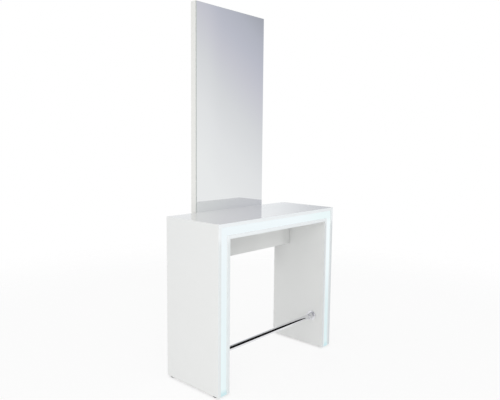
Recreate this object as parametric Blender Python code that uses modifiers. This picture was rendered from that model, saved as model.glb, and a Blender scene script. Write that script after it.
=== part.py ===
"""Salon styling station: a lacquered portal table with a light band round its front, a tall mirror panel at
its back edge and a chrome footrest between its legs.

Metres, +Z up, X across the width, front towards -Y. The origin is on the floor under the station's middle.
"""

from math import asin, cos, pi, radians, sin, sqrt

import bmesh
import bpy
from mathutils import Matrix, Vector

# Table carcass: two hollow slab legs and a hollow top, each of two boards with the light band between them
TABLE_WIDTH = 1.000
TABLE_DEPTH = 0.400
TABLE_HEIGHT = 0.895
LEG_LIFT = 0.008
BOARD = 0.019
LIGHT_GAP = 0.044
BATTEN = 0.030
SOLE_HEIGHT = 0.050
JOINT_GAP = 0.0003

# Light band, set back a little between the front edges of the boards
DIFFUSER_SETBACK = 0.006
DIFFUSER = 0.004
CHANNEL_DEPTH = 0.014
CHANNEL_WALL = 0.0015
STRIP_WIDTH = 0.012
STRIP = 0.0015
STRIP_END = 0.010

# Apron rail, with the service space behind it
APRON_HEIGHT = 0.172
APRON_GROOVE = 0.006
SERVICE_DEPTH = 0.107

# Mirror panel, whose glass is let into a rebate of the board
MIRROR_WIDTH = 0.566
MIRROR_RISE = 1.164
PANEL_DEPTH = 0.045
PANEL_FOOT = 0.012
GLASS = 0.006
GLASS_INSET = 0.001
GLASS_DIP = 0.008

# Cheeks and bolts that carry the panel
CHEEK_INSET = 0.040
CHEEK_BOLT_DROP = 0.110
TOP_BOLT_SPAN = 0.300
BOLT_RADIUS = 0.003
BOLT_HEAD_RADIUS = 0.008
BOLT_HEAD = 0.003
BOLT_SINK = 0.008
BOLT_BITE = 0.025

# Keyhole wall plates, flush with the back of the panel
HANGER_SPAN = 0.400
HANGER_DROP = 0.100
HANGER_WIDTH = 0.030
HANGER_HEIGHT = 0.060
HANGER = 0.002
HANGER_LAND = 0.004
HANGER_POCKET = 0.012
KEYHOLE_RADIUS = 0.0055
KEYHOLE_SLOT = 0.0052
KEYHOLE_TRAVEL = 0.016

# Footrest
BAR_RADIUS = 0.014
BAR_WALL = 0.0015
BAR_HEIGHT = 0.200
BAR_SETBACK = 0.084
FLANGE_RADIUS = 0.030
FLANGE = 0.004
FLANGE_EDGE = 0.0012
SLEEVE_WALL = 0.005
SLEEVE_LENGTH = 0.040
SOCKET_FLOOR = 0.0025
SOCKET_SCREW_CIRCLE = 0.0248
SCREW_RADIUS = 0.002
SCREW_HEAD_RADIUS = 0.0038
SCREW_HEAD = 0.0022
SCREW_CROWN = 0.0014
SCREW_LENGTH = 0.017

# Feet
PAD_RADIUS = 0.023
PAD_EDGE = 0.0015
PAD_SOCKET = 0.005
FOOT_EDGE = 0.028
FRONT_FOOT_SETBACK = 0.035
REAR_FOOT_SETBACK = 0.030
STUD_RADIUS = 0.004
STUD_REACH = 0.034
STUD_ROOM = 0.004
INSERT_RADIUS = 0.0062
INSERT_LENGTH = 0.015

# Supply box behind the apron, with the driver, switch and cable gland
SUPPLY_WIDTH = 0.200
SUPPLY_HEIGHT = 0.055
SUPPLY_WALL = 0.0025
SUPPLY_CLEARANCE = 0.012
COVER_LIP = 0.003
DRIVER_WIDTH = 0.120
DRIVER_DEPTH = 0.050
DRIVER_HEIGHT = 0.028
SWITCH_LENGTH = 0.0190
SWITCH_WIDTH = 0.0130
SWITCH_DEPTH = 0.0120
SWITCH_WALL = 0.0012
SWITCH_FLANGE = 0.0020
SWITCH_LIP = 0.0016
SWITCH_PLACE = 0.060
ROCKER_TILT = radians(10)
ROCKER_RISE = 0.0035
ROCKER_PEAK = 0.0075
ROCKER_VALLEY = 0.0050
ROCKER_KEEL = 0.0035
ROCKER_CLEARANCE = 0.0016
TRUNNION_RADIUS = 0.0015
GLAND_THREAD = 0.0060
GLAND_NUT = 0.0095
GLAND_CROWN = 0.0066
GLAND_BORE = 0.0037
GLAND_LENGTH = 0.016
GLAND_COLLAR = 0.005
LEAD_RADIUS = 0.002
LEAD_PLACE = 0.040
LEAD_BEND = 0.015
BEND_STEPS = 6

# Facets of round pieces, and the angle from which an edge is sharp
FINE = 48
ROUND = 24
SHARP = radians(35)

# Places worked out from the sizes above
X_OUT = TABLE_WIDTH / 2
X_OUTER_BACK = X_OUT - BOARD
X_INNER_BACK = X_OUTER_BACK - LIGHT_GAP
X_INNER = X_INNER_BACK - BOARD
X_FOOT = X_OUT - FOOT_EDGE
Z_UPPER = TABLE_HEIGHT - BOARD
Z_LOWER = Z_UPPER - LIGHT_GAP
Z_UNDER = Z_LOWER - BOARD
Z_CORE = (Z_LOWER + Z_UPPER) / 2
Z_APRON = Z_UNDER - APRON_HEIGHT
Z_PANEL = Z_APRON + PANEL_FOOT
Z_PANEL_TOP = TABLE_HEIGHT + MIRROR_RISE
Y_FRONT = -(TABLE_DEPTH + PANEL_DEPTH) / 2
Y_BACK = Y_FRONT + TABLE_DEPTH
Y_WALL = Y_BACK + PANEL_DEPTH
Y_DIFFUSER = Y_FRONT + DIFFUSER_SETBACK
Y_CHANNEL_OPEN = Y_DIFFUSER + DIFFUSER + JOINT_GAP
Y_CHANNEL = Y_CHANNEL_OPEN + CHANNEL_DEPTH
Y_SOLE = Y_CHANNEL + JOINT_GAP
Y_APRON_BACK = Y_BACK - SERVICE_DEPTH
Y_APRON = Y_APRON_BACK - BOARD
Y_GLASS = Y_BACK + JOINT_GAP
MITRE_GAP = JOINT_GAP * sqrt(2)

# How a flat outline stands when it is carried along an axis: its two directions, then the axis
STANDING = {
    "X": Matrix(((0, 0, 1), (1, 0, 0), (0, 1, 0))).to_4x4(),
    "Y": Matrix(((1, 0, 0), (0, 0, -1), (0, 1, 0))).to_4x4(),
    "Z": Matrix.Identity(4),
}
# How a turned piece stands when its own axis, Z, points along an axis
POINTING = {
    "+X": Matrix.Rotation(pi / 2, 4, "Y"),
    "-X": Matrix.Rotation(-pi / 2, 4, "Y"),
    "+Y": Matrix.Rotation(-pi / 2, 4, "X"),
    "-Y": Matrix.Rotation(pi / 2, 4, "X"),
    "+Z": Matrix.Identity(4),
}


# Which way the outside of a leg lies, and which way the room between the legs
OUTWARDS = {"left": "-X", "right": "+X"}
INWARDS = {"left": "+X", "right": "-X"}


def clear_scene():
    for old in list(bpy.data.objects):
        bpy.data.objects.remove(old)


def new_collection(name):
    collection = bpy.data.collections.new(name)
    bpy.context.scene.collection.children.link(collection)
    return collection


def finish(name, colour, roughness, metallic=0.0, glow=0.0):
    """A plain surface finish."""
    made = bpy.data.materials.new(name)
    made.use_nodes = True
    shader = made.node_tree.nodes["Principled BSDF"]
    shader.inputs["Base Color"].default_value = (*colour, 1)
    shader.inputs["Roughness"].default_value = roughness
    shader.inputs["Metallic"].default_value = metallic
    shader.inputs["Emission Color"].default_value = (*colour, 1)
    shader.inputs["Emission Strength"].default_value = glow
    return made


clear_scene()
PARTS = new_collection("styling_station")
CUTTERS = new_collection("cutters")

LACQUER = finish("white_lacquer", (0.83, 0.83, 0.83), 0.12)
CREAM = finish("cream_lacquer", (0.84, 0.83, 0.80), 0.25)
CORE = finish("core_timber", (0.62, 0.47, 0.30), 0.75)
ALUMINIUM = finish("channel_aluminium", (0.72, 0.73, 0.74), 0.35, 1.0)
CIRCUIT = finish("led_circuit", (0.86, 0.86, 0.80), 0.5)
OPAL = finish("opal_diffuser", (0.82, 0.94, 0.96), 0.35, glow=1.0)
MIRROR = finish("silvered_glass", (0.86, 0.88, 0.90), 0.02, 1.0)
CHROME = finish("chrome", (0.80, 0.80, 0.81), 0.06, 1.0)
STEEL = finish("zinc_steel", (0.60, 0.60, 0.60), 0.35, 1.0)
BRASS = finish("insert_brass", (0.71, 0.55, 0.25), 0.35, 1.0)
NYLON = finish("black_nylon", (0.02, 0.02, 0.02), 0.55)
HOUSING = finish("grey_plastic", (0.55, 0.56, 0.57), 0.5)
CABLE = finish("white_cable", (0.75, 0.75, 0.75), 0.5)


def place(name, mesh, surface, matrix):
    """Adds a mesh to the station as a named piece."""
    piece = bpy.data.objects.new(name, mesh)
    mesh.materials.clear()
    mesh.materials.append(surface)
    PARTS.objects.link(piece)
    piece.matrix_world = matrix
    return piece


def combine(piece, operation, tools):
    """Cuts all the tools out of a piece at once, or joins them to it. They stay as hidden wire shapes."""
    group = bpy.data.collections.new(f"{piece.name}_{operation.lower()}")
    CUTTERS.children.link(group)
    for tool in tools:
        PARTS.objects.unlink(tool)
        group.objects.link(tool)
        tool.hide_render = True
        tool.display_type = "WIRE"
    change = piece.modifiers.new(operation.lower(), "BOOLEAN")
    change.operation = operation
    change.solver = "EXACT"
    change.operand_type = "COLLECTION"
    change.collection = group


def cut(piece, *cutters):
    combine(piece, "DIFFERENCE", cutters)


def join(piece, *others):
    combine(piece, "UNION", others)


def block(name, low, high, surface):
    """A square-edged board, batten or plate between two corners."""
    low, high = Vector(low), Vector(high)
    form = bmesh.new()
    bmesh.ops.create_cube(form, size=1)
    bmesh.ops.scale(form, vec=high - low, verts=form.verts)
    mesh = bpy.data.meshes.new(name)
    form.to_mesh(mesh)
    form.free()
    return place(name, mesh, surface, Matrix.Translation((low + high) / 2))


def made_solid(drawn):
    """The solid of a curve or a spun profile as a mesh: caps welded on, faces out, round sides smooth."""
    bpy.context.view_layer.update()
    evaluated = drawn.evaluated_get(bpy.context.evaluated_depsgraph_get())
    mesh = bpy.data.meshes.new_from_object(evaluated)
    form = bmesh.new()
    form.from_mesh(mesh)
    bmesh.ops.remove_doubles(form, verts=form.verts, dist=1e-6)
    bmesh.ops.recalc_face_normals(form, faces=form.faces)
    form.to_mesh(mesh)
    form.free()
    mesh.shade_smooth()
    mesh.set_sharp_from_angle(angle=SHARP)
    name, matrix, surface = drawn.name, drawn.matrix_world.copy(), drawn.data.materials[0]
    bpy.data.objects.remove(drawn)
    return place(name, mesh, surface, matrix)


def new_curve(name, points, dimensions, surface):
    """A curve of straight runs through the points."""
    curve = bpy.data.curves.new(name, "CURVE")
    curve.dimensions = dimensions
    curve.materials.append(surface)
    spline = curve.splines.new("POLY")
    spline.points.add(len(points) - 1)
    for knot, point in zip(spline.points, points):
        knot.co = (*Vector(point).to_3d(), 1)
    drawn = bpy.data.objects.new(name, curve)
    PARTS.objects.link(drawn)
    return drawn


def outline_solid(name, points, axis, low, high, surface):
    """A flat outline carried along an axis from low to high. Points are (x, z), (x, y) or (y, z)."""
    drawn = new_curve(name, points, "2D", surface)
    drawn.data.splines[0].use_cyclic_u = True
    drawn.data.fill_mode = "BOTH"
    drawn.data.extrude = (high - low) / 2
    middle = Vector(((axis == "X"), (axis == "Y"), (axis == "Z"))) * (low + high) / 2
    drawn.matrix_world = Matrix.Translation(middle) @ STANDING[axis]
    return made_solid(drawn)


def turned(name, profile, centre, pointing, surface, facets=ROUND):
    """A round piece turned from (radius, height) points, which run down its outer side."""
    mesh = bpy.data.meshes.new(name)
    mesh.from_pydata([(radius, 0, height) for radius, height in profile],
                     [(n, n + 1) for n in range(len(profile) - 1)], [])
    drawn = place(name, mesh, surface, Matrix.Translation(centre) @ POINTING[pointing])
    spin = drawn.modifiers.new("turned", "SCREW")
    spin.steps = spin.render_steps = facets
    spin.use_merge_vertices = True
    spin.merge_threshold = 1e-5
    return made_solid(drawn)


def rod(name, radius, low, high, centre, pointing, surface, facets=ROUND):
    profile = [(0, high), (radius, high), (radius, low), (0, low)]
    return turned(name, profile, centre, pointing, surface, facets)


def drill(radius, low, high, centre, pointing, facets=ROUND):
    """The cutter of a round hole, from low to high along the pointing axis through centre."""
    return rod("drill", radius, low, high, centre, pointing, STEEL, facets)


def step_drill(mouth, step, radius, end, start, centre, pointing):
    """The cutter of a hole from start to end that is wider as far as its step."""
    profile = [(0, end), (radius, end), (radius, step), (mouth, step), (mouth, start), (0, start)]
    return turned("step_drill", profile, centre, pointing, STEEL)


def sides():
    return (("left", -1), ("right", 1))


def foot_places():
    for side, sign in sides():
        yield "front_" + side, sign * X_FOOT, Y_FRONT + FRONT_FOOT_SETBACK
        yield "rear_" + side, sign * X_FOOT, Y_BACK - REAR_FOOT_SETBACK


def socket_screw_places():
    for level, up in (("lower", -1), ("upper", 1)):
        yield level, Y_FRONT + BAR_SETBACK, BAR_HEIGHT + up * SOCKET_SCREW_CIRCLE


def outer_boards():
    """The faces of the portal: leg boards mitred to the worktop board."""
    for side, sign in sides():
        outline = [(sign * X_OUTER_BACK, LEG_LIFT), (sign * X_OUT, LEG_LIFT),
                   (sign * X_OUT, TABLE_HEIGHT - MITRE_GAP), (sign * X_OUTER_BACK, Z_UPPER - MITRE_GAP)]
        outline_solid(side + "_outer_board", outline, "Y", Y_FRONT, Y_BACK, LACQUER)
    outline = [(-X_OUT, TABLE_HEIGHT), (X_OUT, TABLE_HEIGHT),
               (X_OUTER_BACK, Z_UPPER), (-X_OUTER_BACK, Z_UPPER)]
    outline_solid("worktop_board", outline, "Y", Y_FRONT, Y_BACK, LACQUER)


def inner_boards():
    """The legs' inner faces, drilled for the footrest screws, and the underside with the apron's groove."""
    depth = SCREW_LENGTH - FLANGE + JOINT_GAP
    for side, sign in sides():
        outline = [(sign * X_INNER, LEG_LIFT), (sign * X_INNER_BACK, LEG_LIFT),
                   (sign * X_INNER_BACK, Z_LOWER - MITRE_GAP), (sign * X_INNER, Z_UNDER - MITRE_GAP)]
        board = outline_solid(side + "_inner_board", outline, "Y", Y_FRONT, Y_BACK, LACQUER)
        cut(board, *(drill(SCREW_RADIUS + JOINT_GAP, -BOARD / 2, depth,
                           (sign * X_INNER, y, z), OUTWARDS[side]) for level, y, z in socket_screw_places()))
    outline = [(-X_INNER, Z_UNDER), (X_INNER, Z_UNDER), (X_INNER_BACK, Z_LOWER), (-X_INNER_BACK, Z_LOWER)]
    underside = outline_solid("underside_board", outline, "Y", Y_FRONT, Y_BACK, LACQUER)
    groove = block("apron_groove", (-X_INNER + JOINT_GAP, Y_APRON - JOINT_GAP, Z_UNDER - BOARD),
                   (X_INNER - JOINT_GAP, Y_APRON_BACK + JOINT_GAP, Z_UNDER + APRON_GROOVE + JOINT_GAP), CORE)
    lead_hole = drill(LEAD_RADIUS + JOINT_GAP, -BOARD, 2 * BOARD,
                      (LEAD_PLACE, supply_middle(), Z_UNDER), "+Z")
    cut(underside, groove, lead_hole)


def core_battens():
    """Battens that space the boards: timber behind the light band, and lacquered ones that close the back."""
    front, rear = (Y_SOLE, Y_SOLE + BATTEN), (Y_BACK - BATTEN, Y_BACK)
    z_low, z_high = LEG_LIFT + SOLE_HEIGHT + JOINT_GAP, Z_LOWER - JOINT_GAP
    for side, sign in sides():
        x_low, x_high = sorted((sign * (X_INNER_BACK + JOINT_GAP), sign * (X_OUTER_BACK - JOINT_GAP)))
        block(side + "_front_batten", (x_low, front[0], z_low), (x_high, front[1], z_high), CORE)
        block(side + "_rear_batten", (x_low, rear[0], z_low), (x_high, rear[1], z_high), LACQUER)
    x_high = X_OUTER_BACK - JOINT_GAP
    z_low, z_high = Z_LOWER + JOINT_GAP, Z_UPPER - JOINT_GAP
    batten = block("top_front_batten", (-x_high, front[0], z_low), (x_high, front[1], z_high), CORE)
    cut(batten, drill(LEAD_RADIUS + JOINT_GAP, -2 * BATTEN, BATTEN, (LEAD_PLACE, front[0], Z_CORE), "-Y"))
    batten = block("top_rear_batten", (-x_high, rear[0], z_low), (x_high, rear[1], z_high), LACQUER)
    cut(batten, *(drill(BOLT_RADIUS + JOINT_GAP, -BATTEN / 2, BOLT_BITE + JOINT_GAP,
                        (sign * TOP_BOLT_SPAN / 2, Y_BACK, Z_CORE), "-Y") for sign in (-1, 1)))


def sole_blocks():
    """Blocks in the foot of each leg, drilled for the inserts and the studs."""
    for side, sign in sides():
        x_low, x_high = sorted((sign * (X_INNER_BACK + JOINT_GAP), sign * (X_OUTER_BACK - JOINT_GAP)))
        sole = block(side + "_sole_block", (x_low, Y_SOLE, LEG_LIFT),
                     (x_high, Y_BACK, LEG_LIFT + SOLE_HEIGHT), CORE)
        cut(sole, *(step_drill(INSERT_RADIUS + JOINT_GAP, INSERT_LENGTH + JOINT_GAP, STUD_RADIUS + JOINT_GAP,
                               STUD_REACH + STUD_ROOM, -LEG_LIFT, (x, y, LEG_LIFT), "+Z")
                    for foot, x, y in foot_places() if foot.endswith(side)))


def channel_outline(low, high):
    """The section of a light channel between two edges, open to the front. Points are (edge, y)."""
    y_open, y_floor = Y_CHANNEL_OPEN, Y_CHANNEL - CHANNEL_WALL
    return [(low, y_open), (low, Y_CHANNEL), (high, Y_CHANNEL), (high, y_open), (high - CHANNEL_WALL, y_open),
            (high - CHANNEL_WALL, y_floor), (low + CHANNEL_WALL, y_floor), (low + CHANNEL_WALL, y_open)]


def light_band():
    """Diffusers mitred at the corners, each over an aluminium channel with its LED strip."""
    strip_back = Y_CHANNEL - CHANNEL_WALL - JOINT_GAP
    edge_low, edge_high = X_INNER_BACK + JOINT_GAP, X_OUTER_BACK - JOINT_GAP
    z_low, z_high = Z_LOWER + JOINT_GAP, Z_UPPER - JOINT_GAP
    for side, sign in sides():
        outline = [(sign * edge_low, LEG_LIFT), (sign * edge_high, LEG_LIFT),
                   (sign * edge_high, z_high - MITRE_GAP), (sign * edge_low, z_low - MITRE_GAP)]
        outline_solid(side + "_diffuser", outline, "Y", Y_DIFFUSER, Y_DIFFUSER + DIFFUSER, OPAL)
        x_low, x_high = sorted((sign * edge_low, sign * edge_high))
        outline_solid(side + "_light_channel", channel_outline(x_low, x_high), "Z",
                      LEG_LIFT, Z_LOWER - JOINT_GAP, ALUMINIUM)
        x_middle = (x_low + x_high) / 2
        block(side + "_led_strip", (x_middle - STRIP_WIDTH / 2, strip_back - STRIP, LEG_LIFT + STRIP_END),
              (x_middle + STRIP_WIDTH / 2, strip_back, Z_LOWER - STRIP_END), CIRCUIT)
    outline = [(-edge_low, z_low), (edge_low, z_low), (edge_high, z_high), (-edge_high, z_high)]
    outline_solid("top_diffuser", outline, "Y", Y_DIFFUSER, Y_DIFFUSER + DIFFUSER, OPAL)
    section = [(y, z) for z, y in channel_outline(z_low, z_high)]
    channel = outline_solid("top_light_channel", section, "X", -edge_high, edge_high, ALUMINIUM)
    cut(channel, drill(LEAD_RADIUS + JOINT_GAP, -BATTEN, CHANNEL_DEPTH / 2,
                       (LEAD_PLACE, Y_CHANNEL, Z_CORE), "-Y"))
    block("top_led_strip", (-X_INNER_BACK, strip_back - STRIP, Z_CORE - STRIP_WIDTH / 2),
          (X_INNER_BACK, strip_back, Z_CORE + STRIP_WIDTH / 2), CIRCUIT)


def apron():
    """The rail under the top, with its upper edge glued into the groove of the underside."""
    x_high = X_INNER - 2 * JOINT_GAP
    block("apron_rail", (-x_high, Y_APRON, Z_APRON), (x_high, Y_APRON_BACK, Z_UNDER + APRON_GROOVE), LACQUER)


def cheek_middle():
    return MIRROR_WIDTH / 2 - CHEEK_INSET - BOARD / 2


def cheeks():
    """Upright boards between the apron and the mirror panel, drilled from behind for the lower bolts."""
    for side, sign in sides():
        x_middle = sign * cheek_middle()
        cheek = block(side + "_cheek", (x_middle - BOARD / 2, Y_APRON_BACK + JOINT_GAP, Z_PANEL),
                      (x_middle + BOARD / 2, Y_BACK, Z_UNDER - JOINT_GAP), LACQUER)
        cut(cheek, drill(BOLT_RADIUS + JOINT_GAP, -BATTEN, BOLT_BITE + JOINT_GAP,
                         (x_middle, Y_BACK, Z_UNDER - CHEEK_BOLT_DROP), "-Y"))


def bolt_places():
    for side, sign in sides():
        yield "upper_" + side, sign * TOP_BOLT_SPAN / 2, Z_CORE
        yield "lower_" + side, sign * cheek_middle(), Z_UNDER - CHEEK_BOLT_DROP


def mirror_panel():
    """The board behind the glass, rebated for it, with bolt holes and the pockets of the wall plates."""
    x_edge = MIRROR_WIDTH / 2
    z_ledge = TABLE_HEIGHT - GLASS_DIP
    y_rebate = Y_GLASS + GLASS
    outline = [(Y_BACK + JOINT_GAP, Z_PANEL), (Y_WALL, Z_PANEL), (Y_WALL, Z_PANEL_TOP),
               (y_rebate + JOINT_GAP, Z_PANEL_TOP), (y_rebate + JOINT_GAP, z_ledge - JOINT_GAP),
               (Y_BACK + JOINT_GAP, z_ledge - JOINT_GAP)]
    panel = outline_solid("mirror_panel", outline, "X", -x_edge, x_edge, CREAM)
    cutters = [step_drill(BOLT_HEAD_RADIUS + JOINT_GAP, BOLT_SINK, BOLT_RADIUS + JOINT_GAP, 2 * PANEL_DEPTH,
                          -PANEL_DEPTH, (x, Y_WALL, z), "-Y") for level, x, z in bolt_places()]
    pockets = (("_rebate", JOINT_GAP, HANGER + JOINT_GAP), ("_room", -HANGER_LAND, HANGER_POCKET))
    for name, x, z in hanger_places():
        for pocket, border, depth in pockets:
            half_x, half_z = HANGER_WIDTH / 2 + border, HANGER_HEIGHT / 2 + border
            cutters.append(block(name + pocket, (x - half_x, Y_WALL - depth, z - half_z),
                                 (x + half_x, Y_WALL + depth, z + half_z), CORE))
    cut(panel, *cutters)
    block("mirror_glass", (-x_edge + GLASS_INSET, Y_GLASS, z_ledge),
          (x_edge - GLASS_INSET, y_rebate, Z_PANEL_TOP - GLASS_INSET), MIRROR)


def panel_bolts():
    """Flat-headed bolts through the panel, into the top's rear batten and the cheeks."""
    seat = PANEL_DEPTH - BOLT_SINK
    profile = [(0, 0), (BOLT_HEAD_RADIUS, 0), (BOLT_HEAD_RADIUS, -BOLT_HEAD), (BOLT_RADIUS, -BOLT_HEAD),
               (BOLT_RADIUS, -seat - BOLT_BITE), (0, -seat - BOLT_BITE)]
    head = Y_WALL - BOLT_SINK + BOLT_HEAD + JOINT_GAP
    for level, x, z in bolt_places():
        turned(level + "_panel_bolt", profile, (x, head, z), "+Y", STEEL)


def hanger_places():
    for side, sign in sides():
        yield side + "_hanger_plate", sign * HANGER_SPAN / 2, Z_PANEL_TOP - HANGER_DROP


def keyhole(name, x, z):
    """The outline of a keyhole: a round mouth with a narrower slot above it for the neck of a wall screw."""
    half_slot = KEYHOLE_SLOT / 2
    shoulder = sqrt(KEYHOLE_RADIUS ** 2 - half_slot ** 2)
    mouth = z - KEYHOLE_TRAVEL / 2
    neck = asin(half_slot / KEYHOLE_RADIUS)
    angles = [pi / 2 + neck + 2 * (pi - neck) * n / ROUND for n in range(1, ROUND)]
    points = [(x + half_slot, mouth + shoulder), (x + half_slot, mouth + KEYHOLE_TRAVEL),
              (x - half_slot, mouth + KEYHOLE_TRAVEL), (x - half_slot, mouth + shoulder)]
    points += [(x + KEYHOLE_RADIUS * cos(angle), mouth + KEYHOLE_RADIUS * sin(angle)) for angle in angles]
    return outline_solid(name, points, "Y", Y_WALL - HANGER_POCKET, Y_WALL + HANGER, STEEL)


def hanger_plates():
    """Steel keyhole plates let into the back of the panel, which hook over screws in the wall."""
    for name, x, z in hanger_places():
        plate = block(name, (x - HANGER_WIDTH / 2, Y_WALL - HANGER, z - HANGER_HEIGHT / 2),
                      (x + HANGER_WIDTH / 2, Y_WALL, z + HANGER_HEIGHT / 2), STEEL)
        cut(plate, keyhole(name + "_keyhole", x, z))


def footrest():
    """A chrome tube between the legs, held in a turned socket flange with two screws at each end."""
    y, z = Y_FRONT + BAR_SETBACK, BAR_HEIGHT
    half = X_INNER - SOCKET_FLOOR - 2 * JOINT_GAP
    inside = BAR_RADIUS - BAR_WALL
    walls = [(inside, half), (BAR_RADIUS, half), (BAR_RADIUS, -half), (inside, -half), (inside, half)]
    turned("footrest_tube", walls, (0, y, z), "+X", CHROME, FINE)
    socket = BAR_RADIUS + JOINT_GAP
    sleeve = socket + SLEEVE_WALL
    profile = [(0, SOCKET_FLOOR), (socket, SOCKET_FLOOR), (socket, SLEEVE_LENGTH),
               (sleeve - FLANGE_EDGE, SLEEVE_LENGTH), (sleeve, SLEEVE_LENGTH - FLANGE_EDGE), (sleeve, FLANGE),
               (FLANGE_RADIUS - FLANGE_EDGE, FLANGE), (FLANGE_RADIUS, FLANGE - FLANGE_EDGE),
               (FLANGE_RADIUS, 0), (0, 0)]
    crown = JOINT_GAP + SCREW_HEAD
    screw = [(0, crown), (SCREW_HEAD_RADIUS - SCREW_CROWN, crown), (SCREW_HEAD_RADIUS, crown - SCREW_CROWN),
             (SCREW_HEAD_RADIUS, JOINT_GAP), (SCREW_RADIUS, JOINT_GAP), (SCREW_RADIUS, -SCREW_LENGTH),
             (0, -SCREW_LENGTH)]
    for side, sign in sides():
        wall = sign * (X_INNER - JOINT_GAP)
        face = wall - sign * FLANGE
        flange = turned(side + "_footrest_socket", profile, (wall, y, z), INWARDS[side], CHROME, FINE)
        cut(flange, *(drill(SCREW_RADIUS + JOINT_GAP, -FLANGE, 2 * FLANGE, (face, *place), OUTWARDS[side])
                      for level, *place in socket_screw_places()))
        for level, *place in socket_screw_places():
            turned(f"{side}_socket_screw_{level}", screw, (face, *place), INWARDS[side], CHROME)


def feet():
    """Screw feet: a nylon pad moulded on a steel stud, in a threaded insert in the sole block."""
    pad_top = LEG_LIFT - JOINT_GAP
    stud_foot = pad_top - PAD_SOCKET
    socket = STUD_RADIUS + JOINT_GAP
    pad = [(0, stud_foot - JOINT_GAP), (socket, stud_foot - JOINT_GAP), (socket, pad_top),
           (PAD_RADIUS - PAD_EDGE, pad_top), (PAD_RADIUS, pad_top - PAD_EDGE), (PAD_RADIUS, PAD_EDGE),
           (PAD_RADIUS - PAD_EDGE, 0), (0, 0)]
    insert_top = LEG_LIFT + INSERT_LENGTH
    insert = [(socket, insert_top), (INSERT_RADIUS, insert_top), (INSERT_RADIUS, LEG_LIFT),
              (socket, LEG_LIFT), (socket, insert_top)]
    for name, x, y in foot_places():
        turned("foot_pad_" + name, pad, (x, y, 0), "+Z", NYLON, FINE)
        rod("foot_stud_" + name, STUD_RADIUS, stud_foot, LEG_LIFT + STUD_REACH, (x, y, 0), "+Z", STEEL)
        turned("foot_insert_" + name, insert, (x, y, 0), "+Z", BRASS)


def supply_front():
    return Y_APRON_BACK + SUPPLY_CLEARANCE


def supply_back():
    return Y_BACK - SUPPLY_CLEARANCE


def supply_middle():
    return (supply_front() + supply_back()) / 2


def supply_floor():
    return Z_UNDER - SUPPLY_HEIGHT


def supply_ceiling():
    return Z_UNDER - JOINT_GAP - SUPPLY_WALL


def supply_box():
    """The box under the top: an open-bottomed housing, its snap-in cover and the driver under its ceiling."""
    x_edge, y_middle, top = SUPPLY_WIDTH / 2, supply_middle(), Z_UNDER - JOINT_GAP
    housing = block("supply_box", (-x_edge, supply_front(), supply_floor()),
                    (x_edge, supply_back(), top), HOUSING)
    inner = x_edge - SUPPLY_WALL
    cut(housing, block("supply_room", (-inner, supply_front() + SUPPLY_WALL, supply_floor() - SUPPLY_WALL),
                       (inner, supply_back() - SUPPLY_WALL, supply_ceiling()), HOUSING))
    lead_hole = drill(LEAD_RADIUS + JOINT_GAP, -2 * SUPPLY_WALL, SUPPLY_WALL,
                      (LEAD_PLACE, y_middle, top), "+Z")
    gland_hole = drill(GLAND_THREAD + JOINT_GAP, -SUPPLY_WALL, 2 * SUPPLY_WALL,
                       (-x_edge, y_middle, gland_height()), "+X")
    cut(housing, lead_hole, gland_hole)
    lip = JOINT_GAP + SUPPLY_WALL
    cover = block("supply_cover", (-x_edge + lip, supply_front() + lip, supply_floor()),
                  (x_edge - lip, supply_back() - lip, supply_floor() + COVER_LIP), HOUSING)
    half_x, half_y = SWITCH_WIDTH / 2 + JOINT_GAP, SWITCH_LENGTH / 2 + JOINT_GAP
    cut(cover, block("switch_hole", (SWITCH_PLACE - half_x, y_middle - half_y, supply_floor() - COVER_LIP),
                     (SWITCH_PLACE + half_x, y_middle + half_y, supply_floor() + 2 * COVER_LIP), HOUSING))
    driver_top = supply_ceiling() - JOINT_GAP
    driver_end = LEAD_PLACE - LEAD_BEND - JOINT_GAP
    block("led_driver", (driver_end - DRIVER_WIDTH, y_middle - DRIVER_DEPTH / 2, driver_top - DRIVER_HEIGHT),
          (driver_end, y_middle + DRIVER_DEPTH / 2, driver_top), HOUSING)


def gland_height():
    return supply_floor() + COVER_LIP + GLAND_NUT


def cable_gland():
    """The gland in the left wall of the supply box, for the supply cable."""
    wall = -SUPPLY_WIDTH / 2
    profile = [(GLAND_BORE, GLAND_LENGTH), (GLAND_CROWN, GLAND_LENGTH), (GLAND_NUT, GLAND_COLLAR),
               (GLAND_NUT, JOINT_GAP), (GLAND_THREAD, JOINT_GAP), (GLAND_THREAD, -2 * SUPPLY_WALL),
               (GLAND_BORE, -2 * SUPPLY_WALL), (GLAND_BORE, GLAND_LENGTH)]
    turned("cable_gland", profile, (wall, supply_middle(), gland_height()), "-X", NYLON)


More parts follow.
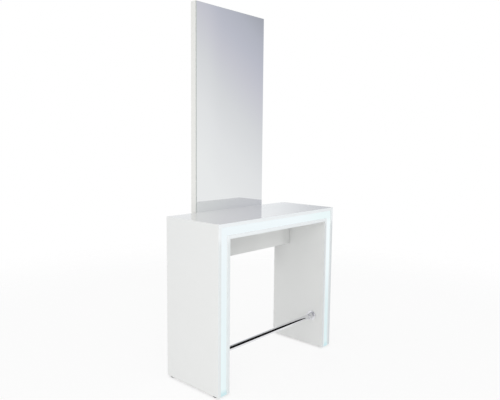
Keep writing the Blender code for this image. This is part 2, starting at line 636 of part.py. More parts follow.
def switch():
    """A rocker switch in the cover of the supply box, worked from below."""
    x, y, floor = SWITCH_PLACE, supply_middle(), supply_floor()
    pivot = Vector((x, y, floor + ROCKER_RISE))
    half_x, half_y = SWITCH_WIDTH / 2, SWITCH_LENGTH / 2
    flange_low, flange_high = floor - JOINT_GAP - SWITCH_FLANGE, floor - JOINT_GAP
    bezel = block("switch_bezel", (x - half_x, y - half_y, flange_low + SWITCH_FLANGE / 2),
                  (x + half_x, y + half_y, floor + SWITCH_DEPTH), NYLON)
    join(bezel, block("switch_flange", (x - half_x - SWITCH_LIP, y - half_y - SWITCH_LIP, flange_low),
                      (x + half_x + SWITCH_LIP, y + half_y + SWITCH_LIP, flange_high), NYLON))
    well_x, well_y, well_top = half_x - SWITCH_WALL, half_y - SWITCH_WALL, floor + SWITCH_DEPTH - SWITCH_WALL
    well = block("switch_well", (x - well_x, y - well_y, flange_low - SWITCH_FLANGE),
                 (x + well_x, y + well_y, well_top), NYLON)
    cut(bezel, well, drill(TRUNNION_RADIUS + JOINT_GAP, -SWITCH_WIDTH, SWITCH_WIDTH, pivot, "+X"))
    reach = well_y - ROCKER_CLEARANCE
    half_width = well_x - JOINT_GAP
    outline = [(-reach, -ROCKER_PEAK), (0, -ROCKER_VALLEY), (reach, -ROCKER_PEAK), (reach, 0),
               (0, ROCKER_KEEL), (-reach, 0)]
    rocker = outline_solid("switch_rocker", outline, "X", -half_width, half_width, NYLON)
    trunnions = rod("trunnions", TRUNNION_RADIUS, -half_x, half_x, (0, 0, 0), "+X", NYLON)
    join(rocker, trunnions)
    tilt = Matrix.Translation(pivot) @ Matrix.Rotation(ROCKER_TILT, 4, "X")
    rocker.matrix_world = tilt @ rocker.matrix_world
    trunnions.matrix_world = tilt @ trunnions.matrix_world


def bend(centre, start, end):
    """Points of a lead's quarter turn about a centre, from one direction to the other."""
    angles = [pi / 2 * n / BEND_STEPS for n in range(BEND_STEPS + 1)]
    return [Vector(centre) + LEAD_BEND * (cos(a) * Vector(start) + sin(a) * Vector(end)) for a in angles]


def lead():
    """The lead: out of the end of the driver, up into the hollow top and forward to the LED strip."""
    y_start, y_end = supply_middle(), Y_CHANNEL - CHANNEL_WALL
    points = bend((LEAD_PLACE - LEAD_BEND, y_start, supply_ceiling()), (0, 0, -1), (1, 0, 0))
    points += bend((LEAD_PLACE, y_start - LEAD_BEND, Z_CORE - LEAD_BEND), (0, 1, 0), (0, 0, 1))
    points.append((LEAD_PLACE, y_end, Z_CORE))
    drawn = new_curve("led_lead", points, "3D", CABLE)
    drawn.data.bevel_depth = LEAD_RADIUS
    drawn.data.bevel_resolution = 2
    drawn.data.use_fill_caps = True
    made_solid(drawn)


outer_boards()
inner_boards()
core_battens()
sole_blocks()
light_band()
apron()
cheeks()
mirror_panel()
panel_bolts()
hanger_plates()
footrest()
feet()
supply_box()
cable_gland()
switch()
lead()
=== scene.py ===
from math import cos, pi, radians, sin

import bmesh
import bpy
from mathutils import Matrix, Vector


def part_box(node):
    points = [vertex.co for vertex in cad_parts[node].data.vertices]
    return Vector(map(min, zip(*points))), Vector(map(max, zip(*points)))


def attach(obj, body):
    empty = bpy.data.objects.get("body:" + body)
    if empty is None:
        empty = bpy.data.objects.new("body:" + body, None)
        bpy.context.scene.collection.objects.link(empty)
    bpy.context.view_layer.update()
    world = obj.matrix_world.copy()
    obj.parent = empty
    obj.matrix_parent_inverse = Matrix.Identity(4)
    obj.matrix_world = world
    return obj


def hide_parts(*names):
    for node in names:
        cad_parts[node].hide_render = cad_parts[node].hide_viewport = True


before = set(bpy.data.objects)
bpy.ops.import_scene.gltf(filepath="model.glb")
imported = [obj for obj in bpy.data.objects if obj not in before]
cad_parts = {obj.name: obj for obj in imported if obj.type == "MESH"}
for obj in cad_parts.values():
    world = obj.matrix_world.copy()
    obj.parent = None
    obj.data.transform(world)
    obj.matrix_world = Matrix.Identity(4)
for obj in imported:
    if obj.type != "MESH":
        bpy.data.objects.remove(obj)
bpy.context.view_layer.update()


# Sole blocks and front battens: the core that the boards are glued to, of planed beech cut along the grain.
# The undersides of the sole blocks show, with the bores of the feet. Their back ends are lacquered over.
SOLE_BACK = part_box("left_sole_block")[1].y
LACQUER_COAT = 0.0006
LACQUER_WHITE = (234, 235, 234)
ALONG_GRAIN = 0.05
GRAIN_DEPTH = 0.00012


class Tone:
    """A shader socket. Sums of tones and numbers add Math nodes, and node() adds a node of any other kind."""

    def __init__(self, tree, socket=None):
        self.tree = tree
        self.socket = socket

    def node(self, kind, settings=None, sockets=None, output=0):
        """Adds a node, sets it up, then fills or links its sockets. Returns one of its outputs."""
        made = self.tree.nodes.new(kind)
        for setting, value in (settings or {}).items():
            if setting == "stops":
                stops = made.color_ramp.elements
                while len(stops) < len(value):
                    stops.new(1.0)
                for stop, (position, colour) in zip(stops, value):
                    stop.position = position
                    stop.color = colour
            else:
                setattr(made, setting, value)
        for socket, value in (sockets or {}).items():
            if isinstance(value, Tone):
                self.tree.links.new(value.socket, made.inputs[socket])
            else:
                made.inputs[socket].default_value = value
        return Tone(self.tree, made.outputs[output])

    def feed(self, shader, socket):
        self.tree.links.new(self.socket, shader.inputs[socket])

    def math(self, operation, first, second=0.0):
        return self.node("ShaderNodeMath", {"operation": operation}, {0: first, 1: second})

    def mix(self, share, first, second):
        """From the first colour to the second."""
        return self.node("ShaderNodeMix", {"data_type": "RGBA"}, {0: share, 6: first, 7: second}, 2)

    def step(self, low, high):
        """A soft step from 0 to 1 as this tone goes from low to high."""
        settings = {"interpolation_type": "SMOOTHSTEP"}
        return self.node("ShaderNodeMapRange", settings, {"Value": self, "From Min": low, "From Max": high})

    def __add__(self, other):
        return self.math("ADD", self, other)

    def __sub__(self, other):
        return self.math("SUBTRACT", self, other)

    def __rsub__(self, other):
        return self.math("SUBTRACT", other, self)

    def __mul__(self, other):
        return self.math("MULTIPLY", self, other)

    __radd__ = __add__
    __rmul__ = __mul__


def paint(red, green, blue):
    """A colour as it is read off a screen, from 0 to 255, for a shader."""
    shares = [value / 255 for value in (red, green, blue)]
    return (*[(v + 0.055) ** 2.4 / 1.055 ** 2.4 if v > 0.04045 else v / 12.92 for v in shares], 1.0)


def new_finish(name, **constants):
    """A finish on one Principled shader. Returns it, a tone to start from and the shader."""
    finish = bpy.data.materials.new(name)
    finish.use_nodes = True
    shader = finish.node_tree.nodes["Principled BSDF"]
    for socket, value in constants.items():
        shader.inputs[socket.replace("_", " ").title().replace("Ior", "IOR")].default_value = value
    return finish, Tone(finish.node_tree), shader


def clouds(start, scale, detail=2.0, stretch=(1, 1, 1)):
    """Soft noise over a piece's own coordinates, from 0 to 1, drawn out along an axis by a small stretch."""
    place = start.node("ShaderNodeTexCoord", output="Object")
    place = start.node("ShaderNodeVectorMath", {"operation": "MULTIPLY"}, {0: place, 1: stretch})
    return start.node("ShaderNodeTexNoise", None, {"Vector": place, "Scale": scale, "Detail": detail})


def raise_surface(height, shader, depth):
    """Lets a tone from 0 to 1 raise a surface by up to a depth in metres."""
    sockets = {"Strength": 1.0, "Distance": depth, "Height": height}
    height.node("ShaderNodeBump", None, sockets).feed(shader, "Normal")


def beech(run, stretch):
    """Planed beech with its grain along one axis: broad bands, fine fibres and short dark flecks."""
    finish, start, shader = new_finish("beech_along_" + run)
    bands = clouds(start, 26, 2, stretch)
    fibres = clouds(start, 420, 5, stretch)
    flecks = clouds(start, 900, 1, stretch).step(0.62, 0.72)
    place = start.node("ShaderNodeTexCoord", output="Object")
    depth = start.node("ShaderNodeSeparateXYZ", None, {"Vector": place}, "Y")
    bare = 1 - depth.step(SOLE_BACK - LACQUER_COAT, SOLE_BACK - LACQUER_COAT / 2)
    tone = start.mix(bands, paint(206, 171, 128), paint(184, 144, 101))
    tone = start.mix(fibres * 0.5, tone, paint(222, 192, 152))
    tone = start.mix(flecks * 0.6, tone, paint(133, 95, 62))
    start.mix(bare, paint(*LACQUER_WHITE), tone).feed(shader, "Base Color")
    (0.05 + bare * (0.47 + fibres * 0.2)).feed(shader, "Roughness")
    raise_surface((fibres - flecks) * bare, shader, GRAIN_DEPTH)
    return finish


def coat(finish, *nodes):
    """Gives a finish to CAD nodes that keep their own shape."""
    for node in nodes:
        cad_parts[node].material_slots[0].material = finish


coat(beech("depth", (1, ALONG_GRAIN, 1)), "left_sole_block", "right_sole_block")
coat(beech("height", (1, 1, ALONG_GRAIN)), "left_front_batten", "right_front_batten")
coat(beech("width", (ALONG_GRAIN, 1, 1)), "top_front_batten")


# Light channels: anodised aluminium extrusions let in behind the opal covers, with die lines along them.
# They are glued between the boards and meet under the corners of the portal.
ALONG_DRAW = 0.01
DIE_LINE_DEPTH = 0.00002


def anodised(run, stretch):
    finish, start, shader = new_finish("anodised_aluminium_along_" + run, metallic=1.0)
    lines = clouds(start, 1500, 3, stretch)
    start.mix(lines, paint(205, 207, 209), paint(222, 224, 226)).feed(shader, "Base Color")
    (0.3 + lines * 0.2).feed(shader, "Roughness")
    raise_surface(lines, shader, DIE_LINE_DEPTH)
    return finish


coat(anodised("height", (1, 1, ALONG_DRAW)), "left_light_channel", "right_light_channel")
coat(anodised("width", (ALONG_DRAW, 1, 1)), "top_light_channel")


# LED strips: white circuit tape stuck along the floor of each channel, with a row of square chips on it.
# Each chip is a white case round a yellow phosphor window.
CHIP = 0.005
CHIP_WINDOW = 0.0036
CHIP_PITCH = 0.0167
TAPE = 0.0005


def add_block(form, low, high, finish_number=0):
    """Adds a square block between two corners to a form."""
    low, high = Vector(low), Vector(high)
    corners = bmesh.ops.create_cube(form, size=1)["verts"]
    bmesh.ops.scale(form, vec=high - low, verts=corners)
    bmesh.ops.translate(form, vec=(low + high) / 2, verts=corners)
    faces = {face for corner in corners for face in corner.link_faces}
    for face in faces:
        face.material_index = finish_number
    return faces


def new_piece(name, form, *finishes):
    """A piece from a form whose faces already carry the numbers of their finishes."""
    mesh = bpy.data.meshes.new(name)
    form.to_mesh(mesh)
    form.free()
    for finish in finishes:
        mesh.materials.append(finish)
    piece = bpy.data.objects.new(name, mesh)
    bpy.context.scene.collection.objects.link(piece)
    return piece


def fit(piece, body, slot, *nodes):
    """Fixes a piece to a body in place of CAD nodes. The slot that its finish belongs to is not used."""
    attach(piece, body)
    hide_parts(*nodes)


def led_strip(name, node):
    low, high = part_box(node)
    run = Vector((1, 0, 0)) if high.x - low.x > high.z - low.z else Vector((0, 0, 1))
    across = Vector((1, 0, 1)) - run
    form = bmesh.new()
    add_block(form, (low.x, high.y - TAPE, low.z), high)
    middle = (low + high) / 2
    length = (high - low).dot(run)
    count = int(length / CHIP_PITCH)
    for number in range(count):
        centre = middle + run * CHIP_PITCH * (number - (count - 1) / 2)
        half_chip = (run + across) * CHIP / 2
        faces = add_block(form, (centre - half_chip).xz.to_3d().xzy + Vector((0, low.y, 0)),
                          (centre + half_chip).xz.to_3d().xzy + Vector((0, high.y - TAPE, 0)), 1)
        front = min(faces, key=lambda face: face.calc_center_median().y)
        bmesh.ops.inset_individual(form, faces=[front], thickness=(CHIP - CHIP_WINDOW) / 2, depth=-TAPE / 2)
        front.material_index = 2
    piece = new_piece(name, form, circuit_tape, chip_case, phosphor)
    fit(piece, "station", "led_circuit", node)


circuit_tape, start, shader = new_finish("circuit_tape", roughness=0.45)
start.mix(clouds(start, 700), paint(236, 236, 230), paint(222, 221, 212)).feed(shader, "Base Color")
chip_case, start, shader = new_finish("chip_case", roughness=0.4)
start.mix(clouds(start, 1200), paint(240, 240, 238), paint(226, 226, 222)).feed(shader, "Base Color")
phosphor, start, shader = new_finish("phosphor", roughness=0.3)
start.mix(clouds(start, 2500), paint(232, 214, 92), paint(214, 190, 60)).feed(shader, "Base Color")
for side in ("left", "right", "top"):
    led_strip(side + "_led_tape", side + "_led_strip")


# Portal boards: 19 mm lacquered fibreboard, mitred at the top corners and glued, then filled and sprayed
# over as one piece, so that no joint shows. A narrow strip closes the gap between them at the back.
ARRIS = 0.0009
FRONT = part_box("worktop_board")[0].y
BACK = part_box("worktop_board")[1].y
FLOOR_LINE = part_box("left_outer_board")[0].z
INNER_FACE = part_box("right_inner_board")[0].x
FACE_SKIN = 0.0005
SHARP_EDGE = radians(40)
GLOSS = 0.008
PEEL_DEPTH = 0.000001
# Where the painted light and shade fall on the legs' inner faces, and the painted glow on the front edges.
PAINTED_LIGHT_HEIGHTS = (0.64, 0.74)
PAINTED_LIGHT_DEPTHS = (0.03, 0.05)
PAINTED_SHADE_HEIGHTS = (0.4, 0.6)
PAINTED_SHADE_DEPTHS = (0.03, 0.25)
RAIL_SHADOW_HEIGHTS = (0.622, 0.642)
RAIL_SHADOW_SHARE = 0.4
LEFT_TO_RIGHT = (0.1, 0.45)
BAND_SIDE = (0.424, 0.436)
BAND_START = (0.437, 0.44)
TOP_EDGE_HEIGHTS = (0.78, 0.83)


def portal(outside, inside, y_low, y_high, foot=FLOOR_LINE):
    """Boards round three sides, open below. Outside and inside are (half width, top) of the portal."""
    form = bmesh.new()
    rings = []
    for sign, at_top in ((-1, False), (-1, True), (1, True), (1, False)):
        corners = [(half_width, top if at_top else foot) for half_width, top in (outside, inside)]
        (x_out, z_out), (x_in, z_in) = corners
        rings.append([form.verts.new(place) for place in
                      ((sign * x_out, y_low, z_out), (sign * x_out, y_high, z_out),
                       (sign * x_in, y_high, z_in), (sign * x_in, y_low, z_in))])
    for ring, following in zip(rings, rings[1:]):
        for number in range(4):
            form.faces.new((ring[number], ring[number - 1], following[number - 1], following[number]))
    form.faces.new(rings[0])
    form.faces.new(reversed(rings[-1]))
    bmesh.ops.recalc_face_normals(form, faces=form.faces)
    return form


def ease(piece, width, steps=3):
    """Rounds a piece's sharp edges over a width, as sanding and finishing do."""
    piece.data.shade_smooth()
    edges = piece.modifiers.new("eased_edges", "BEVEL")
    edges.width = width
    edges.segments = steps
    edges.limit_method = "ANGLE"
    edges.angle_limit = SHARP_EDGE
    flats = piece.modifiers.new("flat_faces", "WEIGHTED_NORMAL")
    flats.keep_sharp = True
    flats.weight = 100
    return piece


def lacquered(name, colour, drift_colour, roughness, *changes):
    """Sprayed lacquer: a clear gloss with a faint orange peel, and painted light and shade by place from the
    changes.
    """
    finish, start, shader = new_finish(name, ior=1.5)
    tone = start.mix(clouds(start, 5, 2), colour, drift_colour)
    place = start.node("ShaderNodeTexCoord", output="Object")
    for change in changes:
        axes = [start.node("ShaderNodeSeparateXYZ", None, {"Vector": place}, axis) for axis in "XYZ"]
        tone = change(tone, *axes)
    tone.feed(shader, "Base Color")
    (roughness + clouds(start, 60, 3) * 0.02).feed(shader, "Roughness")
    raise_surface(clouds(start, 260, 2), shader, PEEL_DEPTH)
    return finish


def painted_inner_shade(tone, along, depth, height):
    """Painted shade on the legs' inner faces towards the back, deepest just under the rail, and painted light
    up in front of it.
    """
    out = tone.math("ABSOLUTE", along)
    inside = (out.step(INNER_FACE - 3 * FACE_SKIN, INNER_FACE - FACE_SKIN)
              * (1 - out.step(INNER_FACE + FACE_SKIN, INNER_FACE + 3 * FACE_SKIN)))
    painted_light = inside * height.step(*PAINTED_LIGHT_HEIGHTS) * (1 - depth.step(*PAINTED_LIGHT_DEPTHS))
    shade = height.step(*PAINTED_SHADE_HEIGHTS) + height.step(*RAIL_SHADOW_HEIGHTS) * RAIL_SHADOW_SHARE
    painted_shade = inside * depth.step(*PAINTED_SHADE_DEPTHS) * shade
    tone = tone.mix(painted_light, tone, paint(237, 238, 237))
    return tone.mix(painted_shade, tone, paint(213, 214, 213))


def painted_band_glow(tone, along, depth, height):
    """Painted glow of the light band on the front edges: most along the top, least on the right leg except
    beside its band.
    """
    leg = tone.mix(along.step(*LEFT_TO_RIGHT), paint(236, 241, 242), paint(226, 231, 233))
    beside_band = along.step(*BAND_SIDE) * (1 - along.step(*BAND_START))
    leg = tone.mix(beside_band, leg, paint(247, 250, 251))
    edge = tone.mix(height.step(*TOP_EDGE_HEIGHTS), leg, paint(249, 253, 255))
    return tone.mix(1 - depth.step(FRONT + ARRIS / 2, FRONT + ARRIS * 2), tone, edge)


# The white lacquer carries the painted shade and light of the legs' inner faces and the painted glow of the
# front edges.
white_lacquer = lacquered("white_gloss_lacquer", paint(*LACQUER_WHITE), paint(233, 234, 233), GLOSS,
                          painted_inner_shade, painted_band_glow)


def half_width_and_top(leg_node, top_node, outside):
    """Where a face of the portal stands, from a leg board and a top board."""
    leg_low, leg_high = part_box(leg_node)
    top_low, top_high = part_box(top_node)
    return (leg_high.x, top_high.z) if outside else (leg_low.x, top_low.z)


outer_face = half_width_and_top("right_outer_board", "worktop_board", True)
outer_back = half_width_and_top("right_outer_board", "worktop_board", False)
inner_back = half_width_and_top("right_inner_board", "underside_board", True)
inner_face = half_width_and_top("right_inner_board", "underside_board", False)

outer_shell = new_piece("outer_shell", portal(outer_face, outer_back, FRONT, BACK), white_lacquer)
ease(outer_shell, ARRIS)
fit(outer_shell, "station", "white_lacquer", "left_outer_board", "right_outer_board", "worktop_board")
inner_shell = new_piece("inner_shell", portal(inner_back, inner_face, FRONT, BACK), white_lacquer)
ease(inner_shell, ARRIS)
fit(inner_shell, "station", "white_lacquer", "left_inner_board", "right_inner_board", "underside_board")
rear_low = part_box("top_rear_batten")[0].y
strip_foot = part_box("left_sole_block")[1].z - ARRIS
form = portal(outer_back, inner_back, rear_low, BACK - ARRIS, strip_foot)
back_strip = new_piece("back_strip", form, white_lacquer)
ease(back_strip, ARRIS)
fit(back_strip, "station", "white_lacquer", "left_rear_batten", "right_rear_batten", "top_rear_batten")


# Light band: a cover of opal acrylic snapped into the channels, set back a little between the boards.
# It glows a cool white set by place, weakest low on the right leg, and a little weaker towards the feet where
# the strips end.
# An end cap closes the groove in front of it at the foot of each leg.
GLOW_FADE = 0.035
END_CAP = 0.003
COVER_GAP = 0.0003
CAP_GAP = 0.0001
COVER_EDGE = 0.0005
LEFT_GLOW_HEIGHTS = (0.1, 0.85)
RIGHT_GLOW_HEIGHTS = (0.15, 0.65)
RIGHT_CORNER_HEIGHTS = (0.8, 0.84)
LEFT_TO_RIGHT_GLOW = (0.1, 0.42)
cover_low, cover_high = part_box("top_diffuser")
cover_outside = (outer_back[0] - COVER_GAP, outer_back[1] - COVER_GAP)
cover_inside = (inner_back[0] + COVER_GAP, inner_back[1] + COVER_GAP)

opal_acrylic, start, shader = new_finish("opal_acrylic", roughness=0.3, emission_strength=1.0)
place = start.node("ShaderNodeTexCoord", output="Object")
height = start.node("ShaderNodeSeparateXYZ", None, {"Vector": place}, "Z")
along = start.node("ShaderNodeSeparateXYZ", None, {"Vector": place}, "X")
strip_end = height.step(FLOOR_LINE, FLOOR_LINE + GLOW_FADE)
glow = start.mix(height.step(*LEFT_GLOW_HEIGHTS), paint(226, 239, 241), paint(234, 242, 245))
far_glow = start.mix(height.step(*RIGHT_GLOW_HEIGHTS), paint(214, 231, 234), paint(236, 245, 247))
far_glow = start.mix(height.step(*RIGHT_CORNER_HEIGHTS), far_glow, paint(227, 240, 241))
glow = start.mix(along.step(*LEFT_TO_RIGHT_GLOW), glow, far_glow)
start.mix(strip_end, paint(196, 224, 228), glow).feed(shader, "Emission Color")
start.mix(clouds(start, 90), paint(24, 26, 26), paint(18, 20, 20)).feed(shader, "Base Color")
form = portal(cover_outside, cover_inside, cover_low.y, cover_high.y)
for sign in (-1, 1):
    cap_left, cap_right = sorted((sign * cover_inside[0], sign * cover_outside[0]))
    add_block(form, (cap_left, FRONT + ARRIS, FLOOR_LINE),
              (cap_right, cover_low.y - CAP_GAP, FLOOR_LINE + END_CAP))
light_band = new_piece("light_band", form, opal_acrylic)
ease(light_band, COVER_EDGE, 2)
fit(light_band, "station", "opal_diffuser", "left_diffuser", "right_diffuser", "top_diffuser")


# Apron rail and cheeks: lacquered boards. The rail is glued into a groove under the top and hides the
# supply box. The cheeks stand behind it and carry the foot of the mirror panel.
# Where the rail's painted highlight and painted corner shade fall.
RAIL_EDGE_HEIGHTS = (0.645, 0.73)
RAIL_ENDS = (0.32, 0.37)


def board(name, node, finish, slot, end=None):
    """A board in place of a node, with its ends carried on to where they are glued."""
    low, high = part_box(node)
    if end:
        low.x, high.x = -end, end
    form = bmesh.new()
    add_block(form, low, high)
    piece = ease(new_piece(name, form, finish), ARRIS)
    fit(piece, "station", slot, node)


def painted_rail_shade(tone, along, depth, height):
    """Painted shade in the rail's corners by the legs, and a painted highlight along its lower edge."""
    rail = tone.mix(1 - height.step(*RAIL_EDGE_HEIGHTS), tone, paint(238, 239, 238))
    ends = tone.math("ABSOLUTE", along).step(*RAIL_ENDS)
    return tone.mix(ends, rail, paint(227, 228, 227))


# The rail has its own copy of the lacquer, with the painted corner shade and highlight.
rail_lacquer_painted_corners = lacquered("rail_gloss_lacquer_painted_corners", paint(235, 236, 235), paint(*LACQUER_WHITE), GLOSS,
                         painted_rail_shade)
board("apron", "apron_rail", rail_lacquer_painted_corners, "white_lacquer", inner_face[0])
for side in ("left", "right"):
    board(side + "_panel_cheek", side + "_cheek", white_lacquer, "white_lacquer")


# Supply box: a moulded housing under the top with a snap-in cover, and the potted driver of the light inside.
# Grey plastic with a fine spark-eroded grain. The lead runs from the driver up into the light channel.
MOULDED_EDGE = 0.0008
MOULD_GRAIN = 0.00003
WELD = 2e-6
FLATNESS = radians(0.5)


def dressed(name, node, finish, edge, steps=2):
    """A copy of a CAD node with its corners welded, its flat faces made whole and its edges eased."""
    form = bmesh.new()
    form.from_mesh(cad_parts[node].data)
    bmesh.ops.remove_doubles(form, verts=form.verts, dist=WELD)
    bmesh.ops.dissolve_limit(form, angle_limit=FLATNESS, verts=form.verts, edges=form.edges)
    for face in form.faces:
        face.material_index = 0
    return ease(new_piece(name, form, finish), edge, steps)


def moulded(name, colour, worn_colour, roughness):
    """Moulded plastic with the fine grain of its mould."""
    finish, start, shader = new_finish(name)
    grain = clouds(start, 2600, 2)
    start.mix(clouds(start, 45), colour, worn_colour).feed(shader, "Base Color")
    (roughness + grain * 0.15).feed(shader, "Roughness")
    raise_surface(grain, shader, MOULD_GRAIN)
    return finish


grey_plastic = moulded("grey_plastic", paint(194, 196, 198), paint(186, 188, 190), 0.4)
cable_sheath = moulded("cable_sheath", paint(226, 226, 224), paint(216, 216, 212), 0.35)
supply_pieces = {"supply_housing": "supply_box", "supply_lid": "supply_cover", "driver": "led_driver"}
for name, node in supply_pieces.items():
    fit(dressed(name, node, grey_plastic, MOULDED_EDGE), "station", "grey_plastic", node)
coat(cable_sheath, "led_lead")


# Cable gland: a black nylon fitting screwed into the left wall of the supply box, for the mains cable.
# A hexagon collar tightens a domed, ribbed cap.
GLAND_FACETS = 96
GLAND_RIBS = 16
GLAND_RIB_DEPTH = 0.035
GLAND_BORE = 0.0037
GLAND_THREAD = 0.006
GLAND_TAIL = -0.005
COLLAR_LOW = 0.0003
COLLAR_HIGH = 0.0048
CAP_RADIUS = 0.0086
CAP_LOW = 0.0052
CAP_HIGH = 0.0105
CAP_MOUTH = 0.0066
GLAND_ROUNDING = 0.0012
GLAND_STEP = 0.0002


def turned(profile, facets):
    """A round form about Z from (radius, height) points. A profile that ends where it began makes a ring."""
    form = bmesh.new()
    angles = [2 * pi * number / facets for number in range(facets)]
    rings = []
    for radius, height in profile[:-1] if profile[0] == profile[-1] else profile:
        if radius == 0:
            rings.append([form.verts.new((0, 0, height))] * facets)
        else:
            rings.append([form.verts.new((radius * cos(a), radius * sin(a), height)) for a in angles])
    if profile[0] == profile[-1]:
        rings.append(rings[0])
    for ring, following in zip(rings, rings[1:]):
        for number in range(facets):
            corners = (ring[number - 1], ring[number], following[number], following[number - 1])
            form.faces.new(dict.fromkeys(corners))
    bmesh.ops.recalc_face_normals(form, faces=form.faces)
    return form


def softened(profile, radius, steps=3):
    """A turned profile with its inner corners rounded off over a radius."""
    points = [Vector(point) for point in profile]
    soft = [profile[0]]
    for before, corner, after in zip(points, points[1:], points[2:]):
        reach = min(radius, (before - corner).length * 0.45, (after - corner).length * 0.45)
        start_point = corner + (before - corner).normalized() * reach
        end_point = corner + (after - corner).normalized() * reach
        for number in range(steps + 1):
            t = number / steps
            soft.append(tuple(start_point * (1 - t) ** 2 + corner * 2 * t * (1 - t) + end_point * t ** 2))
    return soft + [profile[-1]]


def smooth(piece, sharp=35):
    """Smooth shading, with edges over an angle in degrees left sharp."""
    piece.data.shade_smooth()
    piece.data.set_sharp_from_angle(angle=radians(sharp))
    return piece


black_nylon = moulded("black_nylon", paint(34, 34, 36), paint(40, 40, 42), 0.45)
gland_low, gland_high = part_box("cable_gland")
gland_radius = (gland_high.y - gland_low.y) / 2
gland_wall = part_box("supply_box")[0].x
gland_mouth = gland_wall - gland_low.x
gland_start = (GLAND_BORE, GLAND_TAIL)
gland_outline = [(GLAND_THREAD, GLAND_TAIL), (GLAND_THREAD, COLLAR_LOW), (gland_radius, COLLAR_LOW),
                 (gland_radius, COLLAR_HIGH), (CAP_RADIUS, CAP_LOW), (CAP_RADIUS, CAP_HIGH),
                 (CAP_MOUTH, gland_mouth), (GLAND_BORE, gland_mouth)]
form = turned([gland_start, *softened(gland_outline, GLAND_ROUNDING), gland_start], GLAND_FACETS)
for point in form.verts:
    angle = Vector((point.co.x, point.co.y)).angle_signed(Vector((1, 0)), 0.0)
    radius = point.co.xy.length
    if radius > CAP_RADIUS + GLAND_STEP and point.co.z < CAP_LOW + GLAND_STEP / 2:
        flat = gland_radius * cos(pi / 6) / cos((angle % (pi / 3)) - pi / 6)
        point.co.xy *= min(flat, radius) / radius
    elif radius > CAP_MOUTH - GLAND_STEP and point.co.z > CAP_LOW + GLAND_STEP:
        point.co.xy *= 1 - GLAND_RIB_DEPTH * (1 + cos(GLAND_RIBS * angle)) / 2
gland = smooth(new_piece("gland", form, black_nylon))
gland.matrix_world = (Matrix.Translation((gland_wall, (gland_low.y + gland_high.y) / 2,
                                          (gland_low.z + gland_high.z) / 2))
                      @ Matrix.Rotation(-pi / 2, 4, "Y"))
fit(gland, "station", "black_nylon", "cable_gland")


# Rocker switch: a black nylon frame snapped into the cover of the supply box, worked by hand from below.
# The rocker tips on two trunnions that are moulded on its sides.
SWITCH_EDGE = 0.0004
switch_frame = dressed("switch_frame", "switch_bezel", black_nylon, SWITCH_EDGE)
fit(switch_frame, "station", "black_nylon", "switch_bezel")
rocker_key = dressed("rocker_key", "switch_rocker", black_nylon, SWITCH_EDGE)
fit(rocker_key, "rocker", "black_nylon", "switch_rocker")


# Mirror panel: a tall 45 mm board with cream satin lacquer on its edges and back.
# It stands behind the worktop, rebated for the glass, and is drilled and pocketed at the back for fixings.
PANEL_EDGE = 0.0008
SATIN = 0.22
cream_lacquer = lacquered("cream_satin_lacquer", paint(238, 238, 235), paint(235, 235, 231), SATIN)
mirror_board = dressed("mirror_board", "mirror_panel", cream_lacquer, PANEL_EDGE)
fit(mirror_board, "station", "cream_lacquer", "mirror_panel")


# Mirror: float glass silvered at the back and glued into the rebate of the panel, without a frame.
# Its edges are ground matt, with a narrow ground arris round the face.
GROUND_ARRIS = 0.0014
GROUND_DEPTH = 0.00003
silvered_glass, start, shader = new_finish("silvered_glass", metallic=1.0)
start.mix(clouds(start, 3, 1), paint(240, 242, 242), paint(239, 241, 242)).feed(shader, "Base Color")
(0.004 + clouds(start, 14, 2) * 0.004).feed(shader, "Roughness")
ground_glass, start, shader = new_finish("ground_glass", ior=1.52)
ground = clouds(start, 900, 3)
start.mix(ground, paint(186, 193, 190), paint(200, 206, 203)).feed(shader, "Base Color")
(0.3 + ground * 0.2).feed(shader, "Roughness")
raise_surface(ground, shader, GROUND_DEPTH)
glass_low, glass_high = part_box("mirror_glass")
form = bmesh.new()
for face in add_block(form, glass_low, glass_high, 1):
    if abs(face.normal.y) > 0.5:
        face.material_index = 0
mirror = ease(new_piece("mirror", form, silvered_glass, ground_glass), GROUND_ARRIS, 1)
mirror.modifiers["eased_edges"].material = 1
fit(mirror, "station", "silvered_glass", "mirror_glass")


# Panel bolts and wall plates: zinc-plated steel. The bolts go through the panel into the table and cheeks.
# The keyhole plates are let in flush at the back and hook over two screws in the wall.
KEY_RADIUS = 0.0029
KEY_DEPTH = 0.002
BOLT_HEAD = 0.003
BOLT_SHANK = 0.375
BOLT_EDGE = 0.0006
SCREW_FACETS = 48
PLATE_EDGE = 0.0003
PLATING_DEPTH = 0.00001


def carve(piece, *cutters):
    """Cuts forms out of a piece for good, and clears them away."""
    for cutter in cutters:
        tool = new_piece("cutter", cutter)
        change = piece.modifiers.new("cut", "BOOLEAN")
        change.object = tool
        change.solver = "EXACT"
        bpy.context.view_layer.update()
        shaped = piece.evaluated_get(bpy.context.evaluated_depsgraph_get())
        mesh = bpy.data.meshes.new_from_object(shaped)
        piece.modifiers.clear()
        piece.data = mesh
        bpy.data.objects.remove(tool)
    return piece


